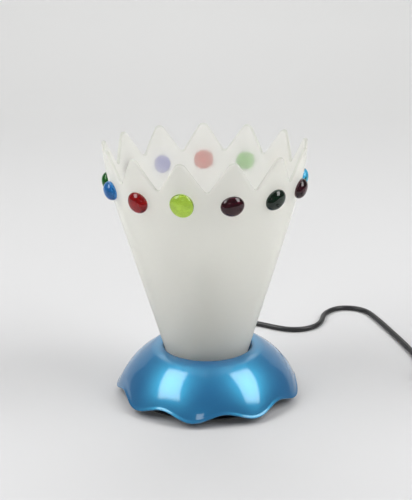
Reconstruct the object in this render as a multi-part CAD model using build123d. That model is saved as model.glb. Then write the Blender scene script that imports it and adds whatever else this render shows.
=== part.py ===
# Table lamp: a frosted glass crown shade with glass nuggets, standing loose in a fluted metal base.
# Millimetres, +Z up. The origin is the centre of the base on the table top.
# An angle "round the lamp" is counted from the front (-Y) towards the right (+X).

import os
from math import atan2, cos, hypot, pi, radians, sin, sqrt, tan

from build123d import *

# Base casting
skirt_reach = 82.1
skirt_edge_height = 4.8
collar_height = 44.5
collar_outer_radius = 46.85
shade_hole_radius = 38.9
collar_roll = 2.5
skirt_bulge = 5.3
base_wall = 3.0
lobe_count = 9
lobe_turn = -10.0
flute_depth = 1.75
flute_growth = 2.0
valley_lift = 6.0
scoop_dip = 0.25
collar_blend_drop = 1.9
collar_step = 0.3
flute_start_drop = 3.0
web_top = 21.0
web_thickness = 3.0

# Bottom plate, its screws and the feet
foot_height = 3.0
foot_radius = 6.0
foot_circle = 57.0
foot_count = 4
plate_radius = 70.0
plate_thickness = 1.2
boss_radius = 4.5
boss_circle = 45.8
boss_count = 3
boss_turn = 31.0
screw_radius = 1.3
screw_head_radius = 3.0
screw_length = 12.0
screw_gap = 0.08

# Glass shade
shade_height = 227.0
shade_wall = 3.6
shade_slope = 0.2972
shade_crown_slope = 0.215
shade_bend_start = 160.0
shade_bend_end = 200.0
collar_gap = 1.0
shade_shift = -0.6
spike_count = 13
spike_turn = 0.87
spike_depth = 23.6
spike_tip_round = 5.4
spike_valley_round = 3.0
seat_gap = 0.3
seat_ring_thickness = 1.5
seat_ring_width = 9.0

# Glass nuggets: name, spike number, width, height, thickness, tilt, rise above the common level.
# Spike 0 is the first one left of the front, and the numbers grow towards the right.
nugget_drop = 34.4
nugget_glue = 0.1
nuggets = [
    ("nugget_lime", 0, 19.6, 20.2, 6.6, 0, 0.8),
    ("nugget_red", -1, 19.2, 18.0, 7.2, 8, -1.1),
    ("nugget_blue", -2, 17.4, 16.2, 8.0, 0, 1.1),
    ("nugget_forest", -3, 17.2, 17.8, 8.0, 0, -0.8),
    ("nugget_smoke", -4, 17.0, 16.8, 7.4, 0, 0.4),
    ("nugget_violet", -5, 16.4, 16.8, 7.4, 0, -0.3),
    ("nugget_coral", 7, 18.8, 17.8, 7.6, 0, 1.2),
    ("nugget_green", 6, 18.6, 16.8, 7.6, 0, 1.6),
    ("nugget_amber", 5, 17.4, 17.0, 7.4, 0, -0.5),
    ("nugget_sky", 4, 17.6, 17.2, 7.8, 0, 0.5),
    ("nugget_damson", 3, 18.2, 17.0, 7.6, 0, 0.6),
    ("nugget_pine", 2, 20.0, 17.0, 7.2, 22, -0.3),
    ("nugget_plum", 1, 19.2, 17.2, 7.2, 8, -0.3),
]

# Lampholder, from the base's web upwards
nipple_radius = 5.0
nipple_bore = 3.6
nipple_length = 34.0
thread_gap = 0.05
nut_across_flats = 14.0
nut_thickness = 4.0
washer_radius = 8.5
washer_thickness = 0.8
spacer_radius = 8.0
spacer_height = 15.0
holder_radius = 14.0
holder_wall = 1.8
holder_cap_height = 20.0
holder_cap_floor = 3.0
holder_ledge_height = 6.0
holder_core_height = 17.0
holder_sleeve_height = 35.0
holder_ridge = 0.5
holder_ridge_pitch = 2.0
holder_ridge_count = 12
shell_length = 22.0
shell_thickness = 0.4
shell_gap = 0.12
terminal_depth = 7.5
contact_width = 5.0
contact_thickness = 0.6

# Bulb with an E14 screw cap
bulb_length = 78.0
bulb_radius = 22.5
bulb_wall = 0.8
cap_radius = 6.9
cap_crest = 0.35
cap_pitch = 2.82
cap_turns = 5
cap_plain = 5.0
neck_radius = 7.6
neck_flare_radius = 10.5
contact_gap = 0.3

# Mains cord
cord_radius = 2.6
floor_gap = 0.1
cord_exit_turn = 171.0
cord_exit_height = 12.0
bush_neck_radius = 4.0
bush_flange_radius = 5.6
bush_flange_thickness = 1.5
bush_nose_length = 20.0
bush_tip_radius = 3.6
bush_fit = 0.05
exit_boss_radius = 6.2
exit_boss_outer = 79.0
exit_boss_inner = 67.0
sheath_end_circle = 24.0
clamp_circle = 30.0
clamp_length = 8.0
clamp_width = 22.0
clamp_thickness = 4.1
clamp_head_height = 1.5
wire_radius = 1.0
wire_spacing = 2.8
wire_bend = 5.0
wire_drop = 3.5

# Coil of the spare cord: two layers of three turns, and its tie
coil_centre = (264.5, -100.0)
coil_radius = 36.5
coil_pitch = 5.7
coil_turns = 3
coil_reverse_inset = 0.95
tie_width = 8.0
tie_thickness = 1.0
tie_under = 0.5
tie_gap = 0.3

# Switch on the cord
switch_length = 62.0
switch_width = 25.0
switch_end_width = 11.0
switch_shoulder = 44.0
switch_height = 15.4
switch_split = 7.6
switch_wall = 1.8
switch_round = 2.2
switch_cord_height = 6.5
rocker_length = 15.4
rocker_width = 10.0
rocker_gap = 0.3
rocker_pivot_height = 11.8
rocker_below = 2.4
rocker_above = 4.6
rocker_dish = 1.2
rocker_tilt = 8.0
trunnion_radius = 1.4
trunnion_length = 2.0
trunnion_gap = 0.05
cheek_thickness = 2.2
cheek_length = 8.0
switch_screw_along = 17.0
switch_screw_across = 6.5

# Two-pin plug
plug_length = 36.0
plug_width = 25.6
plug_thickness = 13.7
plug_neck = 8.0
plug_corner = 3.8
pin_radius = 2.0
pin_length = 19.0
pin_spacing = 18.6

# Sizes that follow from those above
floor_cord = cord_radius + floor_gap
plate_top = foot_height + plate_thickness
flute_start = collar_height - flute_start_drop
web_bottom = web_top - web_thickness
shade_foot = web_top + seat_ring_thickness + seat_gap
nugget_level = shade_height - nugget_drop
holder_bottom = web_top + spacer_height
holder_joint = holder_bottom + holder_cap_height
core_bottom = holder_bottom + holder_cap_floor + holder_ledge_height
core_top = core_bottom + holder_core_height
holder_top = holder_joint + holder_sleeve_height
nipple_bottom = web_bottom - washer_thickness - nut_thickness - 3.0
contact_top = core_top + 2.4
bulb_bottom = contact_top + contact_gap
shell_bottom = core_top
coil_low = floor_gap + tie_under + 0.25 + cord_radius
coil_high = coil_low + coil_pitch
exit_direction = Vector(sin(radians(cord_exit_turn)), -cos(radians(cord_exit_turn)), 0)
exit_side = Vector(-exit_direction.Y, exit_direction.X, 0)


def round_the_lamp(shape, turn):
    """Turn a shape that was made at the front to its angle round the lamp."""
    return Rot(0, 0, turn) * shape


def washer_solid(outer, inner, low, high):
    """A flat ring between two heights."""
    ring = Cylinder(outer, high - low) - Cylinder(inner, high - low)
    return Pos(0, 0, (low + high) / 2) * ring


def rod(radius, low, high, x=0, y=0):
    """An upright rod between two heights."""
    return Pos(x, y, (low + high) / 2) * Cylinder(radius, high - low)


def upright_face(*curves):
    """A face in the XZ plane, from curves drawn as (across, height)."""
    edges = [edge for curve in curves for edge in curve.edges()]
    return Plane.XZ * make_face(edges)


def turned(points):
    """The solid that a closed outline of (radius, height) points makes round the Z axis."""
    return revolve(upright_face(Polyline(*points, close=True)), Axis.Z)


def tube_on(path, radius):
    """A round cord along a path."""
    section = Plane(path @ 0, z_dir=path % 0) * Circle(radius)
    return sweep(section, path=path)


def corner_radii(points):
    """The largest arcs that the runs leave room for: 0.45 of the shorter run at each corner."""
    radii = []
    for before, corner, after in zip(points, points[1:], points[2:]):
        run_in = Vector(corner) - Vector(before)
        run_out = Vector(after) - Vector(corner)
        half_turn = radians(run_in.get_angle(run_out)) / 2
        radii.append(0.45 * min(run_in.length, run_out.length) / tan(half_turn))
    return radii


def cord_along(name, points):
    """A stretch of cord on straight runs joined by tangent arcs. Prints its radii and volume."""
    radii = corner_radii(points)
    path = FilletPolyline(*points, radius=radii)
    tube = tube_on(path, cord_radius)
    expected = pi * cord_radius**2 * path.length
    print(name, "radii", [round(r) for r in radii], "length", round(path.length, 1))
    print(name, "volume over section times length", round(tube.volume / expected, 4))
    return tube


# The skirt. Along a lobe's ridge its outline is one arc; the flutes sink between the ridges.


def ridge_radius(height):
    rise = collar_height - skirt_edge_height
    run = skirt_reach - collar_outer_radius
    chord = hypot(rise, run)
    arc = (chord**2 / 4 + skirt_bulge**2) / (2 * skirt_bulge)
    back = arc - skirt_bulge
    centre_r = (skirt_reach + collar_outer_radius) / 2 - back * rise / chord
    centre_z = (collar_height + skirt_edge_height) / 2 - back * run / chord
    return centre_r + sqrt(arc**2 - (height - centre_z) ** 2)


def fluted_section(height, inset, drop):
    """A closed wavy outline at one height, inset and dropped from the outer skin."""
    level = height + drop
    depth = flute_depth * ((flute_start - level) / (flute_start - skirt_edge_height)) ** flute_growth
    points = []
    steps = lobe_count * 6
    for i in range(steps):
        turn = 360 * i / steps
        wave = (1 - cos(radians(lobe_count * (turn - lobe_turn)))) / 2
        radius = ridge_radius(level) - inset - depth * wave
        points.append((radius * sin(radians(turn)), -radius * cos(radians(turn)), height))
    return Wire([Edge.make_spline(points, periodic=True)])


def fluted_solid(low, high, inset=0.0, drop=0.0, levels=7):
    heights = [low + (high - low) * i / (levels - 1) for i in range(levels)]
    return Solid.make_loft([fluted_section(height, inset, drop) for height in heights])


def collar_ring():
    """The rounded rim round the shade's hole, from the skirt's top inwards."""
    blend_height = collar_height - collar_blend_drop
    roll_start = (shade_hole_radius, collar_height - collar_roll)
    crown = (shade_hole_radius + collar_roll, collar_height)
    blend = (ridge_radius(blend_height), blend_height)
    middle = (ridge_radius((blend_height + flute_start) / 2), (blend_height + flute_start) / 2)
    foot = (ridge_radius(flute_start) - collar_step, flute_start)
    inner_roll = RadiusArc(roll_start, crown, collar_roll)
    outer_roll = TangentArc(crown, blend, tangent=(1, 0))
    skirt_end = ThreePointArc(blend, middle, foot)
    under = Polyline(foot, (shade_hole_radius, flute_start), roll_start)
    outline = upright_face(inner_roll, outer_roll, skirt_end, under)
    return revolve(outline, Axis.Z)


def valley_scoop():
    """The smooth arch that lifts the skirt's edge between two lobes, as a bar along the radius.

    Its ends dip just under the edge, so that neighbouring arches don't meet in the metal.
    """
    half = skirt_reach * sin(pi / lobe_count)
    low = skirt_edge_height - scoop_dip
    lift = valley_lift + scoop_dip
    below = low - 6
    wave = [(half * (i / 4 - 1), low + lift * (1 - cos(pi * i / 4)) / 2) for i in range(9)]
    arch = Spline(*wave, tangents=[(1, 0), (1, 0)])
    under = Polyline(wave[-1], (half, below), (-half, below), wave[0])
    face = upright_face(arch, under)
    inner = plate_radius - 6
    bar = extrude(Pos(0, -inner, 0) * face, skirt_reach + 10 - inner, dir=(0, -1, 0))
    return round_the_lamp(bar, lobe_turn + 180 / lobe_count)


def exit_rod(radius, inner, outer):
    """A rod along the line on which the cord leaves the base."""
    plane = Plane(exit_direction * inner + Vector(0, 0, cord_exit_height), z_dir=exit_direction)
    return extrude(plane * Circle(radius), outer - inner)


def clamp_block(low, high):
    """A block across the cord inside the base, with the cord's groove in it."""
    plane = Plane((0, 0, low), x_dir=exit_direction, z_dir=(0, 0, 1))
    block = extrude(plane * Pos(clamp_circle, 0) * Rectangle(clamp_length, clamp_width), high - low)
    groove = exit_rod(cord_radius + bush_fit, clamp_circle - clamp_length, clamp_circle + clamp_length)
    return block - groove


def clamp_screw_places():
    side = exit_side * (clamp_width / 2 - 4.0)
    middle = exit_direction * clamp_circle
    return [middle + side, middle - side]


def boss_places():
    turns = [boss_turn + 360 * i / boss_count for i in range(boss_count)]
    return [(boss_circle * sin(radians(t)), -boss_circle * cos(radians(t))) for t in turns]


def make_base_shell():
    wall_inset = base_wall * 0.79
    wall_drop = base_wall * 0.61
    low = skirt_edge_height - 3.2
    neck = shade_hole_radius + base_wall
    skin = fluted_solid(low, flute_start)
    cavity_top = flute_start - wall_drop - 1.0
    cavity = fluted_solid(low - 1, cavity_top, wall_inset, wall_drop)
    cavity = cavity - rod(neck, web_bottom, collar_height)
    shell = skin + collar_ring()
    shell = shell - cavity
    shell = shell - rod(shade_hole_radius, web_top, collar_height)
    shell = shell - rod(skirt_reach * 1.5, low - 5, skirt_edge_height)
    scoop = valley_scoop()
    for i in range(lobe_count):
        shell = shell - round_the_lamp(scoop, 360 * i / lobe_count)
    boss_top = collar_height - base_wall - 6.0
    for x, y in boss_places():
        shell = shell + rod(boss_radius, plate_top, boss_top, x, y)
        shell = shell - rod(screw_radius, plate_top, plate_top + screw_length + 2, x, y)
    shell = shell + exit_rod(exit_boss_radius, exit_boss_inner, exit_boss_outer)
    shell = shell - exit_rod(bush_neck_radius + bush_fit, exit_boss_inner - 1, exit_boss_outer + 1)
    clamp_split = cord_exit_height + bush_fit
    shell = shell + clamp_block(clamp_split, web_bottom)
    for place in clamp_screw_places():
        shell = shell - rod(screw_radius, clamp_split, web_bottom - 1.0, place.X, place.Y)
    return shell - rod(nipple_radius + thread_gap, web_bottom, web_top)


# What closes the base underneath


def countersunk_screw(low, head, length, x, y):
    """A screw pointing up: a flush conical head and a plain shank just inside its hole."""
    shank = screw_radius - screw_gap
    cone = Pos(x, y, low + head / 2) * Cone(screw_head_radius - screw_gap, shank, head)
    screw = cone + rod(shank, low + head, low + length, x, y)
    slot = Pos(x, y, low) * Box(screw_head_radius * 1.3, 0.6, 0.8)
    return screw - slot


def make_bottom_plate():
    plate = rod(plate_radius, foot_height, plate_top)
    for x, y in boss_places():
        sink = Cone(screw_head_radius, screw_radius, plate_thickness)
        plate = plate - Pos(x, y, foot_height + plate_thickness / 2) * sink
    return fillet(plate.edges().filter_by(GeomType.CIRCLE).sort_by(SortBy.RADIUS)[-2:], 0.4)


def make_plate_screws():
    return [countersunk_screw(foot_height, plate_thickness, screw_length, x, y) for x, y in boss_places()]


def make_rubber_feet():
    foot = rod(foot_radius, 0, foot_height, 0, -foot_circle)
    foot = chamfer(foot.edges().group_by(Axis.Z)[0], 0.6)
    return [round_the_lamp(foot, lobe_turn - 5 + 360 * i / foot_count) for i in range(foot_count)]


def make_seat_ring():
    radius = shade_radius(shade_foot) + 1.5
    return washer_solid(radius, radius - seat_ring_width, web_top, web_top + seat_ring_thickness)


# Glass shade


def shade_radius(height):
    """Outer radius: a straight cone, a bend, then the steeper crown."""
    seat = shade_hole_radius - collar_gap
    straight = seat + shade_slope * (min(height, shade_bend_start) - collar_height + 1.5)
    bend = shade_bend_end - shade_bend_start
    into = min(max(height - shade_bend_start, 0), bend)
    eased = shade_slope * into - (shade_slope - shade_crown_slope) * into**2 / (2 * bend)
    return straight + eased + shade_crown_slope * max(height - shade_bend_end, 0)


def shade_outline(outward, low, top):
    """The shade's skin moved outward, from low to top, closed at the axis."""
    bend = [shade_bend_start, (shade_bend_start + shade_bend_end) / 2, shade_bend_end]
    points = [(shade_radius(height) + outward, height) for height in [low, *bend, top]]
    cone = Line(points[0], points[1])
    arc = ThreePointArc(points[1], points[2], points[3])
    crown = Line(points[3], points[4])
    rest = Polyline(points[4], (0, top), (0, low), points[0])
    return upright_face(cone, arc, crown, rest)


def shade_core(outward, low, top):
    return Pos(shade_shift, 0, 0) * revolve(shade_outline(outward, low, top), Axis.Z)


def spike_notch():
    """The gap between two spikes at the front, as a bar along the radius with rounded corners."""
    half = shade_radius(shade_height) * sin(pi / spike_count)
    steepness = atan2(spike_depth, half)
    shoulder = half - spike_tip_round * tan(steepness / 2)
    top = shade_height
    bottom = top - spike_depth - spike_valley_round * (1 / cos(steepness) - 1)
    roof = top + 8
    side = half + 2
    corners = [(-side, roof), (-side, top), (-shoulder, top), (0, bottom)]
    corners = corners + [(shoulder, top), (side, top), (side, roof)]
    face = make_face(Polyline(*corners, close=True))
    tips = [v for v in face.vertices() if abs(v.Y - top) < 0.01 and abs(abs(v.X) - shoulder) < 0.01]
    face = fillet(tips, spike_tip_round)
    valley = [v for v in face.vertices() if abs(v.X) < 0.01]
    face = fillet(valley, spike_valley_round)
    bar = extrude(Plane.XZ * face, shade_radius(top) + 10)
    return Pos(shade_shift, 0, 0) * round_the_lamp(bar, spike_turn)


def spike_angle(number):
    """Angle of a spike's middle; spike 0 is the first one left of the front."""
    return spike_turn + (number - 0.5) * 360 / spike_count


def make_shade_glass():
    top = shade_height + 2
    glass = shade_core(0, shade_foot, top) - shade_core(-shade_wall, shade_foot - 1, top + 1)
    turn = Pos(shade_shift, 0, 0) * Rot(0, 0, 360 / spike_count) * Pos(-shade_shift, 0, 0)
    notch = spike_notch()
    for _ in range(spike_count):
        glass = glass - notch
        notch = turn * notch
    rim = glass.edges().group_by(Axis.Z)[0]
    return chamfer(rim, 0.6)


def make_nugget(number, width, height, thickness, tilt, rise):
    """A flat-backed drop of glass, its back shaped to the shade's wall."""
    half = width / 2
    edge = thickness * 0.42
    rim = ThreePointArc((half - edge * 0.7, -0.9), (half, edge * 0.5), (half - edge * 0.45, edge * 1.15))
    dome = ThreePointArc(rim @ 1, (half * 0.5, thickness * 0.88), (0, thickness))
    back = Polyline((0, thickness), (0, -0.9), rim @ 0)
    drop = revolve(upright_face(rim, dome, back), Axis.Z)
    drop = scale(drop, by=(1, height / width, 1))
    level = nugget_level + rise
    slope = shade_slope_at(level)
    seat = Plane((0, -shade_radius(level), level), x_dir=(1, 0, 0), z_dir=(0, -1, -slope))
    placed = round_the_lamp(seat.location * Rot(0, 0, tilt) * drop, spike_angle(number))
    wall = shade_core(nugget_glue, level - height, shade_height)
    return Pos(shade_shift, 0, 0) * placed - wall


def shade_slope_at(height):
    return shade_radius(height + 0.5) - shade_radius(height - 0.5)


# Lampholder


def make_nipple():
    top = nipple_bottom + nipple_length
    return washer_solid(nipple_radius, nipple_bore, nipple_bottom, top)


def make_nipple_nut():
    top = web_bottom - washer_thickness
    nut = extrude(RegularPolygon(nut_across_flats / 2, 6, major_radius=False), nut_thickness)
    return Pos(0, 0, top - nut_thickness) * nut - rod(nipple_radius + thread_gap, 0, top)


def make_lock_washer():
    low = web_bottom - washer_thickness
    return washer_solid(washer_radius, nipple_radius + thread_gap, low, web_bottom)


def make_spacer_tube():
    return washer_solid(spacer_radius, nipple_radius + thread_gap, web_top, holder_bottom)


def make_holder_cap():
    floor = holder_bottom + holder_cap_floor
    bore = holder_radius - holder_wall
    cap = rod(holder_radius, holder_bottom, holder_joint)
    cap = chamfer(cap.edges().group_by(Axis.Z)[0], 1.8)
    cap = cap - rod(bore, core_bottom, holder_joint) - rod(bore - 1.8, floor, core_bottom)
    return cap - rod(nipple_radius + thread_gap, holder_bottom, floor)


def make_holder_core():
    core = rod(holder_radius - holder_wall - thread_gap, core_bottom, core_top)
    for side in (-1, 1):
        pocket = Pos(0, side * holder_radius, core_bottom + 5) * Box(7, 2 * terminal_depth, 10)
        core = core - pocket
        wire_way = exit_side * (side * wire_spacing / 2)
        core = core - rod(wire_radius + 0.2, core_bottom, core_bottom + 4, wire_way.X, wire_way.Y)
    return core


def make_terminal_screws():
    screws = []
    for side in (-1, 1):
        middle = Vector(0, side * (holder_radius - terminal_depth), core_bottom + 5)
        plane = Plane(middle, z_dir=(0, side, 0))
        screws.append(extrude(plane * Circle(1.9), 3.0))
    return screws


def make_holder_sleeve():
    bore = holder_radius - holder_wall + 0.2
    root = holder_radius - holder_ridge
    thread_top = holder_top - 3.0
    outline = [(bore, holder_joint), (holder_radius, holder_joint)]
    start = thread_top - holder_ridge_count * holder_ridge_pitch
    outline.append((holder_radius, start - 1))
    for i in range(holder_ridge_count):
        low = start + i * holder_ridge_pitch
        outline.append((root, low))
        outline.append((holder_radius, low + holder_ridge_pitch / 2))
    outline.append((root, thread_top))
    outline.append((root, holder_top))
    outline.append((bore, holder_top))
    return turned(outline)


def screw_wave(radius, depth, low, turns):
    """Rounded thread rings as (radius, height) points, crest and root in turn."""
    points = []
    for i in range(turns):
        points.append((radius - depth, low + i * cap_pitch))
        points.append((radius, low + (i + 0.5) * cap_pitch))
    points.append((radius - depth, low + turns * cap_pitch))
    return points


def make_thread_shell():
    """The brass screw shell that grips the bulb's cap."""
    inner = cap_radius + shell_gap
    thread_low = bulb_bottom + cap_plain
    inside = screw_wave(inner, cap_crest, thread_low, cap_turns)
    top = shell_bottom + shell_length
    inside = [(inner, shell_bottom), (inner, thread_low - 0.6), *inside, (inner, top)]
    outside = [(inner + shell_thickness, top), (inner + shell_thickness, shell_bottom)]
    return turned(inside + outside)


def make_centre_contact():
    width = contact_width
    thick = contact_thickness
    height = contact_top - core_top
    foot = Pos(0, 0, core_top + thick / 2) * Box(width * 1.6, width, thick)
    post = Pos(width * 0.6, 0, core_top + height / 2) * Box(thick, width, height)
    tongue = Pos(0, 0, contact_top - thick / 2) * Box(width * 1.2, width, thick)
    return foot + post + tongue


# Bulb


def make_bulb_cap():
    low = bulb_bottom + cap_plain
    wave = screw_wave(cap_radius, cap_crest, low, cap_turns)
    top = low + cap_turns * cap_pitch + 3.0
    inner = cap_radius - cap_crest - shell_thickness
    skirt = [(inner, low - 1.6), (cap_radius - cap_crest, low - 1.6)]
    rim = [(cap_radius - 0.1, top - 1.5), (cap_radius - 0.1, top), (inner, top)]
    return turned(skirt + wave + rim)


def make_bulb_insulator():
    low = bulb_bottom + cap_plain
    radius = cap_radius - cap_crest - 0.1
    points = [(0, bulb_bottom + 1.2), (2.6, bulb_bottom + 1.2), (radius, low - 1.7)]
    points = points + [(radius - 0.4, low - 1.6), (radius - 0.4, low + 1.0), (0, low + 1.0)]
    return turned(points)


def make_bulb_contact():
    tip = rod(2.3, bulb_bottom, bulb_bottom + 1.2)
    return fillet(tip.edges().group_by(Axis.Z)[0], 0.6)


def bulb_face(inset):
    """Half the outline of the glass envelope: neck, flare and ball."""
    centre = bulb_bottom + bulb_length - bulb_radius
    ball = bulb_radius - inset
    low = bulb_bottom + cap_plain + 8.0 + inset
    cap_top = bulb_bottom + cap_plain + cap_turns * cap_pitch + 3.0
    inner = cap_radius - cap_crest - shell_thickness - 0.1 - inset


    def on_ball(degrees):
        return (ball * cos(radians(degrees)), centre + ball * sin(radians(degrees)))

    join = on_ball(-48)
    side = on_ball(0)
    crown = on_ball(90)
    start = [(0, low), (inner, low), (inner, cap_top + inset), (neck_radius - inset, cap_top + 1 + inset)]
    neck = Polyline(*start)
    waist = (neck_flare_radius - inset, cap_top + (join[1] - cap_top) * 0.62)
    flare = ThreePointArc(start[-1], waist, join)
    round_low = ThreePointArc(join, on_ball(-24), side)
    round_high = ThreePointArc(side, on_ball(45), crown)
    axis = Line(crown, (0, low))
    return upright_face(neck, flare, round_low, round_high, axis)


def make_bulb_glass():
    return revolve(bulb_face(0), Axis.Z) - revolve(bulb_face(bulb_wall), Axis.Z)


# Cord inside the base, and where it leaves


def make_cord_bush():
    flange_end = exit_boss_outer + bush_flange_thickness
    lip_start = exit_boss_inner - bush_flange_thickness
    bush = exit_rod(bush_neck_radius, exit_boss_inner, exit_boss_outer)
    bush = bush + exit_rod(bush_flange_radius, exit_boss_outer, flange_end)
    bush = bush + exit_rod(bush_flange_radius - 0.6, lip_start, exit_boss_inner)
    plane = Plane(exit_direction * flange_end + Vector(0, 0, cord_exit_height), z_dir=exit_direction)
    nose = Cone(bush_flange_radius - 0.9, bush_tip_radius, bush_nose_length)
    bush = bush + plane.location * Pos(0, 0, bush_nose_length / 2) * nose
    return bush - exit_rod(cord_radius + bush_fit, exit_boss_inner - 5, flange_end + bush_nose_length + 1)


def bush_tip():
    reach = exit_boss_outer + bush_flange_thickness + bush_nose_length
    return exit_direction * reach + Vector(0, 0, cord_exit_height)


def make_inner_sheath():
    reach = exit_boss_outer + bush_flange_thickness + bush_nose_length
    return exit_rod(cord_radius, sheath_end_circle, reach)


def make_core_wires():
    wires = []
    for side in (-1, 1):
        aside = exit_side * (side * wire_spacing / 2)
        level = aside + Vector(0, 0, cord_exit_height)
        start = level + exit_direction * sheath_end_circle
        straight = level + exit_direction * (sheath_end_circle - 4)
        foot = level - Vector(0, 0, wire_drop)
        knee = foot + exit_direction * (sheath_end_circle / 2 - 1)
        top = aside + Vector(0, 0, core_bottom + 4)
        path = FilletPolyline(start, straight, knee, foot, top, radius=wire_bend)
        wires.append(tube_on(path, wire_radius))
    return wires


def make_clamp_bar():
    top = cord_exit_height - bush_fit
    bar = clamp_block(top - clamp_thickness, top)
    for place in clamp_screw_places():
        bar = bar - rod(screw_radius + 0.1, top - clamp_thickness, top, place.X, place.Y)
    return bar


def make_clamp_screws():
    low = cord_exit_height - bush_fit - clamp_thickness
    screws = []
    for place in clamp_screw_places():
        head = rod(screw_head_radius - 0.4, low - clamp_head_height, low, place.X, place.Y)
        shank = rod(screw_radius - screw_gap, low, low + 9.0, place.X, place.Y)
        screws.append(head + shank)
    return screws


# The cord's route on the table, chosen to follow the way it lies: back from the base, round to
# the right, a dip, a hump and then forward to the switch.


def lead_points():
    tip = bush_tip()
    straight = tip + exit_direction * 10.0
    return [
        (tip.X, tip.Y, tip.Z),
        (straight.X, straight.Y, straight.Z),
        (15.2, 124.0, 7.8),
        (17.0, 141.5, 3.4),
        (30.3, 154.8, floor_cord),
        (48.6, 156.2, floor_cord),
        (65.6, 144.5, floor_cord),
        (85.1, 134.0, floor_cord),
        (105.1, 137.5, floor_cord),
        (119.1, 153.5, floor_cord),
        (124.1, 182.0, floor_cord),
        (144.1, 200.0, floor_cord),
        (169.6, 191.5, floor_cord),
        (178.6, 163.0, floor_cord),
        (187.6, 125.5, floor_cord),
        (195.6, 90.5, floor_cord),
        (200.4, 62.0, floor_cord),
        (204.2, 40.0, switch_cord_height),
        (207.4, 23.5, switch_cord_height),
    ]


def switch_heading():
    last = lead_points()
    return (Vector(last[-1]) - Vector(last[-2])).normalized()


def switch_place(along=0.0, height=0.0):
    """A point on the switch's middle line, counted from the end where the cord arrives."""
    start = Vector(lead_points()[-1])
    spot = start + switch_heading() * along
    return Vector(spot.X, spot.Y, height)


def switch_frame():
    return Plane(switch_place(switch_length / 2), x_dir=switch_heading(), z_dir=(0, 0, 1)).location


def feed_points():
    leave = switch_place(switch_length, switch_cord_height)
    straight = switch_place(switch_length + 15.0, switch_cord_height)
    west = coil_centre[0] - coil_radius
    return [
        (leave.X, leave.Y, leave.Z),
        (straight.X, straight.Y, straight.Z),
        (west - 1.5, coil_centre[1] + 22.0, coil_low + 0.4),
        (west, coil_centre[1] + 11.0, coil_low),
        (west, coil_centre[1], coil_low),
    ]


def tail_points():
    east = coil_centre[0] + coil_radius
    return [
        (east, coil_centre[1], coil_high),
        (east, coil_centre[1] + 22.0, coil_high),
        (299.0, -58.0, 5.4),
        (294.5, -39.0, floor_cord),
        (288.0, -20.5, floor_cord),
        (281.0, 0.0, plug_thickness / 2 + floor_gap),
        (277.0, 13.4, plug_thickness / 2 + floor_gap),
    ]


def biarc(start, start_way, end, end_way):
    """Two arcs, each leaving its end along the way given and meeting in line half way."""
    across = end - start
    both = start_way + end_way
    turn = 2 * (1 - start_way.dot(end_way))
    reach = across.dot(both)
    step = (-reach + sqrt(reach**2 + turn * across.dot(across))) / turn
    meet = (start + start_way * step + end - end_way * step) / 2
    first = Edge.make_tangent_arc(start, start_way, meet)
    second = Edge.make_tangent_arc(end, -end_way, meet)
    return [first, second]


def coil_stations():
    """Half-turn stations of the coil: in on the lower layer, up a layer, out on the upper one."""
    halves = 2 * coil_turns
    inner = coil_radius - halves * coil_pitch / 2
    radii = [coil_radius - i * coil_pitch / 2 for i in range(halves)]
    radii = radii + [inner - coil_reverse_inset] * 2 + radii[::-1]
    stations = []
    for i, radius in enumerate(radii):
        side = -1 if i % 2 == 0 else 1
        height = coil_low if i <= halves else coil_high
        stations.append((Vector(coil_centre[0] + side * radius, coil_centre[1], height), side))
    return stations


def make_cord_coil():
    stations = coil_stations()
    edges = []
    for (start, side), (end, next_side) in zip(stations, stations[1:]):
        edges = edges + biarc(start, Vector(0, side, 0), end, Vector(0, next_side, 0))
    path = Wire(edges)
    tube = tube_on(path, cord_radius)
    expected = pi * cord_radius**2 * path.length
    print("coil length", round(path.length, 1))
    print("coil volume over section times length", round(tube.volume / expected, 4))
    print("coil least gap to itself", round(least_gap(edges), 2))
    return tube


def least_gap(edges):
    """Smallest clear distance between stretches of the coil at least half a turn apart."""
    per_edge = 16
    points = []
    for i, edge in enumerate(edges):
        forward = i % 2 == 0
        for j in range(per_edge):
            share = j / per_edge
            points.append(edge @ (share if forward else 1 - share))
    apart = 2 * per_edge - 2
    nearest = min((a - b).length for i, a in enumerate(points) for b in points[i + apart :])
    return nearest - 2 * cord_radius


def make_coil_tie():
    """A strap round the turns on the side away from the climb."""
    inner = coil_radius - 2 * coil_turns * coil_pitch / 2 - cord_radius - tie_gap
    outer = coil_radius - 0.75 * coil_pitch + cord_radius + tie_gap
    low = floor_gap + tie_under
    high = coil_high + cord_radius + tie_gap
    place = Pos(coil_centre[0], coil_centre[1] + (inner + outer) / 2, 0)
    hole = place * Pos(0, 0, (low + high) / 2) * Box(tie_width * 2, outer - inner, high - low)
    band_low = low - tie_under
    band_high = high + tie_thickness
    depth = outer - inner + 2 * tie_thickness
    height = band_high - band_low
    band = place * Pos(0, 0, (band_low + band_high) / 2) * Box(tie_width, depth, height)
    band = fillet(band.edges().filter_by(Axis.X).group_by(Axis.Z)[-1], 2.5)
    return band - hole


# Switch on the cord, made along X about its middle and then laid on its stretch of the cord


def switch_outline(inset):
    half = switch_length / 2 - inset
    shoulder = switch_shoulder / 2 - inset * 0.6
    wide = switch_width / 2 - inset
    narrow = switch_end_width / 2 - inset * 0.5
    quarter = [(half, narrow), (shoulder, wide)]
    corners = quarter + [(-x, y) for x, y in quarter[::-1]]
    corners = corners + [(-x, -y) for x, y in corners]
    face = make_face(Polyline(*corners, close=True))
    shoulders = [v for v in face.vertices() if abs(v.X) < switch_length / 2 - inset - 1]
    return fillet(shoulders, 6.0 - inset)


def switch_screw_spots():
    return [(switch_screw_along, switch_screw_across), (-switch_screw_along, -switch_screw_across)]


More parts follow.
